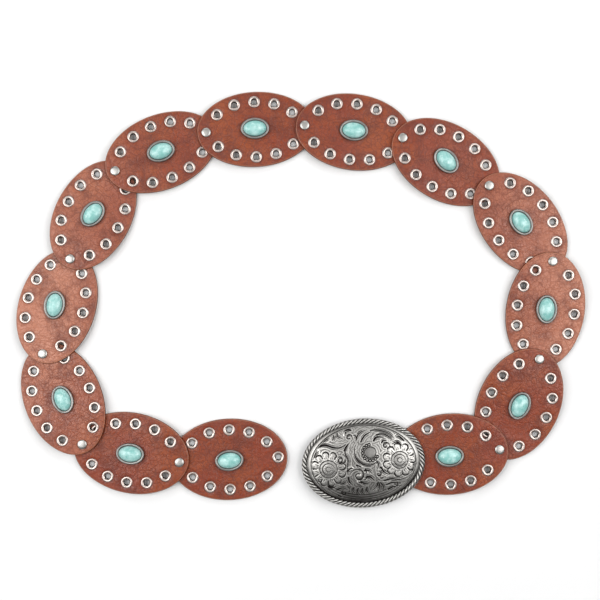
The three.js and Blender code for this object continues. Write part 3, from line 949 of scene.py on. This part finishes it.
class Engraving:
    """Cuts and raised forms over the buckle's face, at points given in millimetres."""

    def __init__(self, x, y):
        self.x = x
        self.y = y
        self.cut = np.zeros_like(x)
        self.rise = np.zeros_like(x)
        self.ground = np.ones_like(x)

    def stroke(self, points, width, depth=1.0, start=0.15, end=0.15):
        """A cut along a line, thin at its ends and widest in the middle."""
        share = np.linspace(0, 1, len(points))
        swell = np.sin(math.pi * share) ** 0.8
        self.groove(points, width / 2 * np.maximum(swell, np.where(share < 0.5, start, end)), depth)

    def comma(self, points, width, depth=1.0):
        """A cut that starts thick and runs out thin."""
        share = np.linspace(0, 1, len(points))
        swell = np.sin(math.pi * share ** 0.45) ** 0.7
        self.groove(points, width / 2 * np.maximum(swell, 0.16), depth)

    def echo(self, points, aside, width, depth=0.6):
        """A fine line beside another one."""
        points = np.asarray(points, float)
        way = np.gradient(points, axis=0)
        way /= np.maximum(np.linalg.norm(way, axis=1), 1e-6)[:, None]
        beside = points + np.column_stack((-way[:, 1], way[:, 0])) * aside
        trimmed = beside[len(beside) // 8: -max(1, len(beside) // 8)]
        self.stroke(trimmed, width, depth)

    def groove(self, points, half, depth):
        """A cut with its own half width at each point."""
        points = np.asarray(points, float)
        for p, q, a, b in zip(points[:-1], points[1:], half[:-1], half[1:]):
            reach = max(a, b) * 1.05
            low, high = np.minimum(p, q) - reach, np.maximum(p, q) + reach
            near = np.flatnonzero((self.x > low[0]) & (self.x < high[0])
                                  & (self.y > low[1]) & (self.y < high[1]))
            step = q - p
            way_x, way_y = self.x[near] - p[0], self.y[near] - p[1]
            share = np.clip((way_x * step[0] + way_y * step[1]) / max(step @ step, 1e-9), 0, 1)
            far = np.hypot(way_x - share * step[0], way_y - share * step[1])
            deep = np.clip(1.15 - far / (a + (b - a) * share), 0, 1)
            self.cut[near] = np.maximum(self.cut[near], deep * deep * (3 - 2 * deep) * depth)

    def cushion(self, centre, radius, height, soft=0.35):
        """A raised round form."""
        far = np.hypot(self.x - centre[0], self.y - centre[1]) / radius
        body = np.clip((1 - far) / soft, 0, 1)
        self.rise = np.maximum(self.rise, height * body * (2 - body))
        self.ground[far < 1] = 0

    def bead(self, centre, radius):
        """A small raised bead in a dark ring."""
        self.stroke(arc(centre, radius * 1.25, 0, 360, 12), 0.75, 0.9, 0.9, 0.9)
        self.cushion(centre, radius, 0.3, 0.9)


def polar(centre, radius, angle):
    """A point, or points, at a distance from a centre, at an angle in degrees."""
    angle = np.radians(angle)
    return np.stack((centre[0] + radius * np.cos(angle), centre[1] + radius * np.sin(angle)), axis=-1)


def arc(centre, radius, start, end, steps=16):
    """Points on a round arc, between two angles in degrees."""
    return polar(centre, radius, np.linspace(start, end, steps))


def spiral(centre, outer, inner, start, end, steps=44):
    """Points that wind in from one radius to another."""
    share = np.linspace(0, 1, steps)
    return polar(centre, outer * (inner / outer) ** share, start + (end - start) * share)


def flowing(points, steps=9):
    """A smooth line through a few points."""
    points = np.asarray(points, float)
    ends = np.vstack((2 * points[0] - points[1], points, 2 * points[-1] - points[-2]))
    t = np.linspace(0, 1, steps, endpoint=False)[:, None]
    line = []
    for a, b, c, d in zip(ends, ends[1:], ends[2:], ends[3:]):
        bend, twist = 2 * a - 5 * b + 4 * c - d, 3 * b - a - 3 * c + d
        line.append(0.5 * (2 * b + (c - a) * t + bend * t**2 + twist * t**3))
    return np.vstack((*line, points[-1:]))


def flower(work, centre, boss, reach, petals, phase):
    """A low round boss in a ring of scalloped petals with hooked cuts between them."""
    half = 180 / petals
    far = np.hypot(work.x - centre[0], work.y - centre[1])
    turn = np.arctan2(work.y - centre[1], work.x - centre[0]) - math.radians(phase)
    lobe = np.abs(np.cos(turn * petals / 2))
    body = np.clip((reach * (0.86 + 0.14 * lobe ** 0.7) - far) / 0.7, 0, 1)
    work.rise = np.maximum(work.rise, body * (0.14 + 0.12 * lobe))
    work.ground[body > 0.5] = 0.06
    work.cushion(centre, boss, 0.75, 0.75)
    work.ground[far < boss] = 0.26
    work.stroke(arc(centre, boss * 1.06, 0, 360, 60), 0.9, 0.75, 0.8, 0.8)
    work.stroke(arc(centre, boss * 0.72, phase, phase + 330, 40), 0.8, 0.7, 0.6, 0.6)
    work.stroke(arc(centre, boss * 0.30, phase, phase + 330, 20), 0.7, 0.6, 0.6, 0.6)
    for i in range(12):
        spot = polar(centre, boss * 0.40, phase + 30 * i)
        work.stroke(np.array((spot, polar(centre, boss * 0.5, phase + 30 * i))), 0.5, 0.35, 0.8, 0.8)
    for i in range(petals):
        angle = phase + 2 * half * i
        out = reach * np.array((0.66, 0.86, 1.0, 1.02, 0.93, 0.80))
        hook = polar(centre, out, angle + half * np.array((-1.0, -0.98, -0.55, 0.05, 0.5, 0.42)))
        work.comma(flowing(hook, 6), 1.0)
        work.comma(polar(centre, reach * np.array((0.94, 0.88, 0.82, 0.76)), angle - half), 0.9)
        work.stroke(polar(centre, reach * np.array((0.58, 0.68, 0.82)), angle - half * 0.25), 0.6, 0.8)
        work.stroke(polar(centre, reach * np.array((0.57, 0.64, 0.72)), angle + half * 0.30), 0.55, 0.8)


def curl(work, centre, radius, start, sweep, lobes=0):
    """A stem that winds into an eye, with leaf lobes along its outer side."""
    hand = 1 if sweep > 0 else -1
    stem = spiral(centre, radius, radius * 0.24, start, start + sweep)
    work.stroke(stem, 1.0, 1.0, 0.35, 0.6)
    work.echo(stem, 0.8 * hand, 0.5, 0.6)
    work.cushion(centre, radius * 0.30, 0.35, 0.8)
    for i in range(lobes):
        share = (i + 0.5) / lobes * 0.6
        angle = start + sweep * share
        out = radius * 0.24 ** share
        size = 1.2 - 0.5 * share
        tip = polar(centre, out + 3.1 * size, angle - 16 * hand)
        side = polar(centre, out + 1.9 * size, angle + 10 * hand)
        root = polar(centre, out + 0.4, angle + 16 * hand)
        work.cushion(side, 1.7 * size, 0.28, 0.9)
        work.comma(flowing((tip, side, root), 7), 1.15 * size)
        vein = polar(centre, out + 2.2 * size, angle - 14 * hand), polar(centre, out + 0.9, angle)
        work.stroke(flowing(vein, 6), 0.5, 0.7)


# Middle, boss, reach, petals and first angle of each flower, then the rosette's middle and radius
FLOWERS = (((-26.6, -2.4), 6.2, 12.8, 12, 10), ((27.0, 0.7), 6.0, 12.4, 11, 0))
ROSETTE = (5.5, 8.0)
ROSETTE_RADIUS = 4.2
# The stem from the upper scroll to the lower one
STEM = ((-8.6, 17.5), (-12.3, 12.6), (-13.4, 8.8), (-11.6, 3.5), (-12.6, -3.0), (-12.0, -9.5))
# Width of each leafy cut, and its points in millimetres from the buckle's middle, from its thick end on
WEDGES = (
    (1.9, ((-34.3, 13.9), (-30.0, 15.6), (-26.4, 15.4), (-21.9, 13.6), (-16.8, 13.2), (-12.2, 15.4))),
    (1.3, ((-28.9, 18.2), (-26.6, 20.0), (-24.0, 20.3))),
    (1.2, ((-20.8, 22.6), (-20.9, 20.6), (-22.4, 18.8))),
    (1.2, ((-18.0, 24.2), (-17.9, 21.6), (-14.0, 19.6))),
    (1.7, ((-7.4, 25.4), (-10.2, 25.9), (-13.4, 24.9))),
    (1.5, ((-1.2, 16.2), (1.9, 20.6), (7.3, 23.5))),
    (1.1, ((-4.8, 17.3), (-1.9, 22.7), (4.9, 25.3))),
    (2.0, ((8.4, 16.4), (10.9, 18.9), (16.2, 18.6))),
    (1.1, ((10.4, 20.9), (16.2, 20.9), (21.2, 17.9), (22.9, 14.5))),
    (1.0, ((6.4, 24.4), (12.6, 24.1), (20.2, 21.2), (24.4, 17.0))),
    (1.3, ((29.3, 11.3), (26.1, 14.3), (22.2, 13.1))),
    (1.2, ((31.6, 14.4), (27.9, 18.0), (24.6, 18.8))),
    (1.5, ((14.4, 14.6), (15.8, 16.2), (18.2, 16.0))),
    (1.8, ((-12.2, -9.2), (-11.8, -12.6), (-9.6, -15.4))),
    (1.5, ((-14.0, 10.6), (-12.6, 13.2), (-10.4, 15.8))),
    (1.7, ((1.2, -9.8), (4.4, -10.4), (7.0, -13.4))),
    (1.3, ((-0.4, -5.0), (3.2, -5.2), (5.6, -7.8))),
    (1.3, ((-3.4, -12.9), (-0.2, -14.9), (3.4, -14.6))),
    (1.6, ((13.0, -3.4), (14.4, -7.0), (18.7, -9.9))),
    (1.2, ((9.6, 1.6), (11.0, -1.6), (9.2, -6.0))),
    (1.9, ((-28.0, -15.0), (-25.6, -16.6), (-21.8, -15.6))),
    (1.3, ((-22.0, -18.6), (-17.6, -17.0), (-13.4, -18.6))),
    (1.2, ((-19.0, -14.0), (-15.8, -13.6), (-13.6, -11.4))),
    (1.4, ((13.6, -14.0), (19.6, -12.9), (26.0, -14.0), (31.9, -13.2))),
    (1.2, ((15.3, -17.3), (19.6, -15.9), (25.0, -16.2), (30.4, -15.9))),
    (1.4, ((16.6, -21.0), (20.4, -19.2), (27.0, -18.8))),
    (1.2, ((9.8, -14.4), (8.2, -18.0), (4.8, -20.8))),
    (1.2, ((10.4, -15.0), (10.6, -19.0), (8.8, -22.6))),
    (1.1, ((11.2, -14.8), (13.4, -18.2), (13.2, -21.8))),
    (1.2, ((-8.6, -17.2), (-9.6, -19.6), (-8.2, -21.6))),
    (1.2, ((-5.4, -18.0), (-6.2, -20.6), (-4.6, -22.8))),
    (1.2, ((-2.2, -18.2), (-2.8, -21.0), (-1.0, -23.4))),
    (1.2, ((1.2, -17.6), (0.8, -20.4), (2.6, -23.2))),
    (1.0, ((-36.4, 6.6), (-35.4, 9.6), (-32.6, 11.8))),
    (1.0, ((37.6, -3.0), (37.4, -6.4), (34.8, -9.6))),
)
# Middle, radius, first angle, sweep and leaves of each curl
CURLS = (
    ((-16.8, 3.9), 4.6, 70, -420, 0),
    ((17.3, 12.3), 3.4, 330, 400, 0),
    ((-4.5, -8.7), 6.4, 170, -470, 5),
    ((-9.6, 20.4), 3.2, 300, 420, 2),
    ((-33.0, -10.4), 2.4, 60, 400, 0),
    ((10.6, -8.6), 2.6, 120, -400, 2),
    ((23.4, -17.4), 1.8, 160, -380, 0),
    ((-16.2, -21.0), 2.4, 90, 420, 1),
)


def distance_to_cuts(work):
    """How far each point is from the nearest deep cut."""
    deep = np.flatnonzero(work.cut > 0.55)
    tree = KDTree(len(deep))
    for i in deep.tolist():
        tree.insert((work.x[i], work.y[i], 0), i)
    tree.balance()
    return np.array([tree.find((x, y, 0))[2] for x, y in zip(work.x.tolist(), work.y.tolist())])


def engrave(x, y):
    """A scroll and flower pattern of the usual western kind, over the whole dome."""
    work = Engraving(x, y)
    for centre, boss, reach, petals, phase in FLOWERS:
        flower(work, centre, boss, reach, petals, phase)
    for centre, radius, start, sweep, lobes in CURLS:
        curl(work, centre, radius, start, sweep, lobes)
    work.cushion(ROSETTE, ROSETTE_RADIUS, 0.22, 0.3)
    work.ground[np.hypot(x - ROSETTE[0], y - ROSETTE[1]) < ROSETTE_RADIUS] = 0.42
    work.stroke(arc(ROSETTE, ROSETTE_RADIUS + 0.1, 0, 360, 40), 0.6, 0.8, 0.8, 0.8)
    for angle in range(95, 330, 21):
        work.bead(polar(ROSETTE, 6.0, angle), 0.75)
    sweep = arc((3.8, 9.0), 10.2, 142, 312, 30)
    work.stroke(sweep, 1.25)
    work.echo(sweep, 1.0, 0.5)
    work.echo(sweep, -1.1, 0.5)
    stem = flowing(STEM)
    work.stroke(stem, 1.0)
    work.echo(stem, 1.0, 0.5)
    work.echo(stem, 1.9, 0.45)
    for width, points in WEDGES:
        line = flowing(points)
        work.comma(line, width)
        work.echo(line, 0.55 + width * 0.45, 0.5)
        work.echo(line, -0.55 - width * 0.45, 0.45)
    for share in (0.70, 0.755, 0.80):
        work.stroke(arc((0, 0), share, 215, 322, 50) * BUCKLE_HALF, 0.6, 0.7)
    fill_ground(work, way_out(x, y))
    return work


def fill_ground(work, share):
    """Fine contour lines between the cuts, out to the line round the dome's foot."""
    field_end, border_line, contour_step = 0.832, 0.846, 1.6
    inside = np.clip((field_end - share) / 0.012, 0, 1)
    border = np.clip(1.2 - np.abs(share - border_line) / 0.008, 0, 1)
    contours = 0.5 + 0.5 * np.cos(distance_to_cuts(work) * 2 * math.pi / contour_step)
    work.ground *= inside
    open_ground = work.ground > 0.9
    work.ground[open_ground] *= (0.08 + 0.50 * contours ** 2.5)[open_ground]
    work.cut = np.maximum(work.cut * inside, border * 0.9)
    work.rise *= inside


def patina_and_painted_shade(x, y, share, work):
    """How dark each point of the face is: patina in its cuts and ground and on the bevel, and painted shade
    over the middle, down its low side and at the rope's foot, with the bevel lighter towards the ends as
    painted highlight.
    """
    bevel_start, rope_shade, low_start = 0.85, 0.88, 0.62
    # How near each point's bearing is to the buckle's ends, and to its low side
    ends = (x / BUCKLE_HALF[0] / np.maximum(share, 0.01)) ** 2
    low = -y / BUCKLE_HALF[1] / np.maximum(share, 0.01)
    # The bevel's patina, made lighter towards the ends and the top as painted highlight and darker towards
    # the low side as painted shade
    bevel = np.clip((share - bevel_start) / 0.01, 0, 1) * (0.78 - (0.46 - 0.3 * low) * ends + 0.2 * low)
    # Painted shadow of the rope along the bevel's outer edge
    bevel += np.clip((share - rope_shade) / 0.01, 0, 1) * 0.2
    # Painted shade: darker over the middle, a little left of centre, and more towards the low side, then more
    # again down the low side near the dome's foot
    painted_face_shade = 0.19 * np.exp(-((x + 8) / 24) ** 2) * (1 - 0.8 * y / BUCKLE_HALF[1])
    painted_face_shade += (0.28 * np.clip((share - low_start) / 0.1, 0, 1) * np.clip(low, 0, 1) ** 1.5
             * np.exp(-((x + 12) / 26) ** 2))
    recess = work.cut * 1.15 + work.ground * (1 - work.cut)
    return np.clip(np.maximum(painted_face_shade + (1 - painted_face_shade) * recess, bevel), 0, 1)


def buckle_face_grid():
    """Points that fill the dome, row by row."""
    line = np.linspace(-1, 1, FACE_STEPS + 1)
    u, v = np.meshgrid(line, line, indexing="ij")
    foot = 1 - ROPE_SHARE
    x = BUCKLE_HALF[0] * foot * u * np.sqrt(1 - v * v / 2)
    y = BUCKLE_HALF[1] * foot * v * np.sqrt(1 - u * u / 2)
    return x.ravel(), y.ravel()


def buckle_shell(material):
    """The casting: engraved dome, bevel, bed of the rope, and hollow back, as one closed skin."""
    x, y = buckle_face_grid()
    share = way_out(x, y)
    work = engrave(x, y)
    z = dome_height(share) + work.rise - CUT_DEPTH * work.cut - GROUND_DEPTH * work.ground * (1 - work.cut)
    n = FACE_STEPS + 1
    index = np.arange(n * n).reshape(n, n)
    quads = np.column_stack((index[:-1, :-1].ravel(), index[1:, :-1].ravel(), index[1:, 1:].ravel(),
                             index[:-1, 1:].ravel()))
    rim = np.concatenate((index[:-1, 0], index[-1, :-1], index[:0:-1, -1], index[0, :0:-1]))
    rim_x, rim_y = x[rim], y[rim]
    rim_share = way_out(rim_x, rim_y)
    inner_wall = [(way, float(dome_height(way)) - CASTING) for way in (0.80, 0.6, 0.3, 0)]
    # Rows of share and height, from the dome's foot over the rope's bed and the rim into the hollow back
    rows = [(0.915, 2.0), (0.925, 1.5), (0.97, 1.4), (0.99, 1.2), (0.995, 0.6), (0.985, 0.15), (0.96, 0.0),
            (0.88, 0.0), (0.86, 0.12), (0.80, inner_wall[0][1] - 0.35), *inner_wall[1:3]]
    rim_dark, bed_dark, hollow_dark, bed_height = 0.35, 0.6, 0.3, 1.9
    points = [np.column_stack((x, y, z))]
    dark = [patina_and_painted_shade(x, y, share, work)]
    for row_share, height in rows:
        scale = row_share / rim_share
        points.append(np.column_stack((rim_x * scale, rim_y * scale, np.full(len(rim), height))))
        dark.append(np.full(len(rim), rim_dark if height < bed_height else bed_dark))
    points.append(np.array([[0.0, 0.0, inner_wall[3][1]]]))
    dark.append([hollow_dark])
    faces = quads.tolist()
    count = len(rim)
    ahead = np.roll(np.arange(count), -1)
    previous = rim
    for i in range(len(rows)):
        new = n * n + i * count + np.arange(count)
        faces += np.column_stack((previous, new, new[ahead], previous[ahead])).tolist()
        previous = new
    hub = n * n + len(rows) * count
    faces += np.column_stack((previous, np.full(count, hub), previous[ahead])).tolist()
    return mesh_object("buckle_casting", buckle_place(np.concatenate(points)), faces, [material],
                       values={"patina": np.concatenate(dark)})


def hook_rings():
    """Oval rings down the hook's peg and out along its toe, in the buckle's own frame."""
    floor = -buckle_rim()
    # Rows of how far out a ring is, its height, half its width and thickness, and its bend in degrees
    rows = (
        (0, dome_height(0.7) - CASTING / 2, 1.9, 1.9, 0),
        (0, 0.4, 1.7, 1.7, 0),
        (0, floor + 2.9, 1.7, 1.7, 0),
        (0.2, floor + 1.9, 1.7, 1.6, 20),
        (0.9, floor + 1.1, 1.7, 1.15, 50),
        (2.0, floor + 0.72, 1.65, 0.75, 78),
        (3.4, floor + 0.66, 1.5, 0.66, 90),
        (4.3, floor + 0.66, 1.1, 0.58, 90),
        (4.7, floor + 0.66, 0.4, 0.3, 90),
    )
    angles = full_turn(20)
    rings = []
    for out, height, wide, thick, degrees in rows:
        bend = math.radians(degrees)
        aside = thick * np.cos(angles)
        rings.append(np.column_stack((HOOK_ALONG - out + aside * math.cos(bend), wide * np.sin(angles),
                                      height - aside * math.sin(bend))))
    return rings


def buckle_fittings(material):
    """The hook and the socket boss on the casting's back, as one piece."""
    rings = hook_rings()
    sides = len(rings[0])
    hook = np.concatenate(rings + [rings[0].mean(axis=0)[None], rings[-1].mean(axis=0)[None]])
    first, last = len(hook) - 2, len(hook) - 1
    end = (len(rings) - 1) * sides
    faces = ring_faces(len(rings), sides)[:, ::-1].tolist()
    faces += [[first, i, (i + 1) % sides] for i in range(sides)]
    faces += [[last, end + (i + 1) % sides, end + i] for i in range(sides)]
    top = float(dome_height(0.6)) - CASTING / 2
    profile = (
        (0, 1.5), (1.9, 1.5), (1.9, -0.7), (2.15, -BOSS_DEPTH), (4.65, -BOSS_DEPTH), (4.95, -0.7),
        (5.0, -0.3), (5.0, top - 1.6), (5.4, top - 0.9), (6.2, top - 0.4), (6.2, top), (0, top),
    )
    boss = turned("boss_part", profile, (1, 1), 40, material)
    boss_points = np.array([vertex.co for vertex in boss.data.vertices]) / MM + (*BUCKLE_POST, 0)
    faces += [[v + len(hook) for v in polygon.vertices] for polygon in boss.data.polygons]
    bpy.data.objects.remove(boss)
    points = np.concatenate((hook, boss_points))
    return mesh_object("buckle_fittings", buckle_place(points), faces, [material],
                       values={"patina": np.full(len(points), 0.35)})


class BELT_OT_buckle(bpy.types.Operator):
    """Make the engraved buckle, its rope border and the fittings on its back"""
    bl_idname = "belt.buckle"
    bl_label = "Buckle"

    def execute(self, context):
        metal = context.scene.belt_metal
        antique = antique_silver(metal)
        dress(buckle_shell(antique), "antique_silver", "buckle")
        dress(buckle_fittings(antique), "antique_silver")
        rope = bpy.data.objects.new("rope_border", bpy.data.meshes.new("rope_border"))
        context.scene.collection.objects.link(rope)
        length, width = ((half - ROPE_RADIUS) * MM for half in BUCKLE_HALF)
        rope_tree().apply(
            rope, half_length=length, half_width=width, height=ROPE_HEIGHT * MM, radius=ROPE_RADIUS * MM,
            flatness=ROPE_FLATNESS, turns=metal.rope_turns, strands=STRANDS, material=antique)
        points = np.array([v.co for v in rope.data.vertices]) / MM
        rope.data.vertices.foreach_set("co", (buckle_place(points) * MM).astype(np.float32).ravel())
        rope.data.update()
        dress(rope, "antique_silver")
        return {"FINISHED"}


# Stage

# Half the floor's width in millimetres
FLOOR_HALF = 3000
# Place in metres, width, length and power of each light, and whether it is aimed at the belt
LIGHTS = {
    "softbox_left": ((-1.00, 0.05, 1.00), 1.0, 1.1, 12.0, True),
    "softbox_right": ((1.00, 0.20, 1.00), 1.0, 1.1, 11.5, True),
    "strip_left": ((-0.46, -0.01, 1.05), 0.24, 0.44, 2.0, False),
    "strip_right": ((0.46, -0.10, 1.05), 0.24, 0.40, 1.8, False),
    "softbox_far": ((0.0, 1.35, 0.95), 1.2, 0.6, 6.5, True),
    "softbox_near": ((0.0, -1.25, 0.42), 1.6, 0.35, 1.2, True),
    "ceiling": ((0.0, 0.10, 1.75), 1.8, 1.8, 5.5, False),
}
# Where the camera is in metres, over the middle of the photograph
CAMERA_PLACE = (-0.00075, -0.0004, 0.9078)


class BELT_OT_stage(bpy.types.Operator):
    """Set the pale floor, the soft lights and the camera straight above"""
    bl_idname = "belt.stage"
    bl_label = "Floor, lights and camera"

    def execute(self, context):
        scene = context.scene
        square = np.array(((-1, -1, 0), (1, -1, 0), (1, 1, 0), (-1, 1, 0))) * FLOOR_HALF
        paper = Finish("floor").feed(Base_Color=(0.82, 0.82, 0.82, 1.0), Roughness=0.9)
        floor = mesh_object("floor", square, [(0, 1, 2, 3)], [paper])
        for name, (place, width, length, power, aimed) in LIGHTS.items():
            light = bpy.data.lights.new(name, "AREA")
            light.shape = "RECTANGLE"
            light.size = width
            light.size_y = length
            light.energy = power
            lamp = bpy.data.objects.new(name, light)
            lamp.location = place
            if aimed:
                lamp.rotation_euler = (-Vector(place)).to_track_quat("-Z", "Y").to_euler()
            scene.collection.objects.link(lamp)
        world = bpy.data.worlds.new("studio")
        world.use_nodes = True
        world.node_tree.nodes["Background"].inputs["Color"].default_value = (1, 1, 1, 1)
        world.node_tree.nodes["Background"].inputs["Strength"].default_value = 0.08
        scene.world = world
        scene.view_settings.view_transform = "Standard"
        camera = bpy.data.cameras.new("camera")
        camera.lens = 72
        camera.sensor_width = 36
        eye = bpy.data.objects.new("camera", camera)
        eye.location = CAMERA_PLACE
        scene.collection.objects.link(eye)
        scene.camera = eye
        return {"FINISHED"}


class BELT_PT_panel(bpy.types.Panel):
    """Makers of the belt's pieces"""
    bl_idname = "BELT_PT_panel"
    bl_label = "Western belt"
    bl_space_type = "VIEW_3D"
    bl_region_type = "UI"
    bl_category = "Belt"

    def draw(self, context):
        for group in ("belt_leather", "belt_metal", "belt_stone"):
            settings = getattr(context.scene, group)
            box = self.layout.box()
            for key in settings.__annotations__:
                box.prop(settings, key)
        for operator in OPERATORS:
            self.layout.operator(operator.bl_idname)


GROUPS = {"belt_leather": LeatherSettings, "belt_metal": MetalSettings, "belt_stone": StoneSettings}
OPERATORS = (BELT_OT_leather, BELT_OT_eyelets, BELT_OT_settings, BELT_OT_buckle, BELT_OT_stage)


def register():
    for item in (*GROUPS.values(), *OPERATORS, BELT_PT_panel):
        bpy.utils.register_class(item)
    for name, group in GROUPS.items():
        setattr(bpy.types.Scene, name, bpy.props.PointerProperty(type=group))


def unregister():
    for name in GROUPS:
        delattr(bpy.types.Scene, name)
    for item in reversed((*GROUPS.values(), *OPERATORS, BELT_PT_panel)):
        bpy.utils.unregister_class(item)


def main():
    register()
    bpy.ops.belt.leather()
    bpy.ops.belt.eyelets()
    bpy.ops.belt.settings()
    bpy.ops.belt.buckle()
    bpy.ops.belt.stage()


if __name__ == "__main__":
    main()
